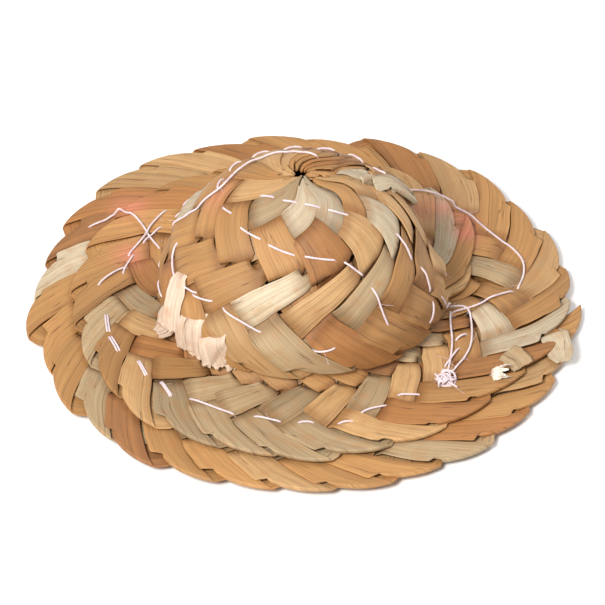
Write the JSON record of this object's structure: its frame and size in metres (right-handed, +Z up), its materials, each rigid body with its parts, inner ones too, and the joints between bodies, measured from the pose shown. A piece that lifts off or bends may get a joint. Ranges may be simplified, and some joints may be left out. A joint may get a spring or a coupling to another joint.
{
  "type": "miniature plaited straw hat",
  "caption": "Small round-crowned straw sun hat with a wide flat brim, wound from one flat leaf plait and sewn with white thread.",
  "frame": {"origin": "on the resting plane, under the middle of the crown, at the middle of the brim's outline", "axes": "+Z up through the top of the crown, +X to the right of the side where the tail of the plait is hidden, -Y towards the front"},
  "size_m": [0.1094, 0.1098, 0.0387],
  "materials": {
    "leaf": "matte",
    "pale_leaf": "matte",
    "thread": "matte"
  },
  "bodies": {
    "root": {"brim_edge_leaf_1": "leaf", "brim_edge_leaf_10": "leaf", "brim_edge_leaf_11": "leaf", "brim_edge_leaf_12": "leaf", "brim_edge_leaf_13": "leaf", "brim_edge_leaf_14": "leaf", "brim_edge_leaf_15": "leaf", "brim_edge_leaf_16": "leaf", "brim_edge_leaf_17": "leaf", "brim_edge_leaf_18": "leaf", "brim_edge_leaf_2": "leaf", "brim_edge_leaf_3": "leaf", "brim_edge_leaf_4": "leaf", "brim_edge_leaf_5": "leaf", "brim_edge_leaf_6": "leaf", "brim_edge_leaf_7": "leaf", "brim_edge_leaf_8": "leaf", "brim_edge_leaf_9": "leaf", "brim_inner_leaf_1": "leaf", "brim_inner_leaf_10": "leaf", "brim_inner_leaf_11": "leaf", "brim_inner_leaf_2": "leaf", "brim_inner_leaf_3": "leaf", "brim_inner_leaf_4": "leaf", "brim_inner_leaf_5": "leaf", "brim_inner_leaf_6": "leaf", "brim_inner_leaf_7": "leaf", "brim_inner_leaf_8": "leaf", "brim_inner_leaf_9": "leaf", "brim_stitches": "thread", "crown_draped_thread": "thread", "crown_leaf_1": "leaf", "crown_leaf_10": "leaf", "crown_leaf_11": "leaf", "crown_leaf_12": "leaf", "crown_leaf_2": "leaf", "crown_leaf_3": "leaf", "crown_leaf_4": "leaf", "crown_leaf_5": "leaf", "crown_leaf_6": "leaf", "crown_leaf_7": "leaf", "crown_leaf_8": "leaf", "crown_leaf_9": "leaf", "crown_side_stitches": "thread", "crown_top_stitches": "thread", "crumpled_leaf_end": "pale_leaf", "cut_leaf_ends": "pale_leaf", "left_loose_leaf_ends": "pale_leaf", "left_zigzag_thread": "thread", "right_float_thread": "thread", "right_loose_leaf_end": "pale_leaf", "right_tangled_thread": "thread", "thread_knot": "thread"}
  },
  "joints": []
}
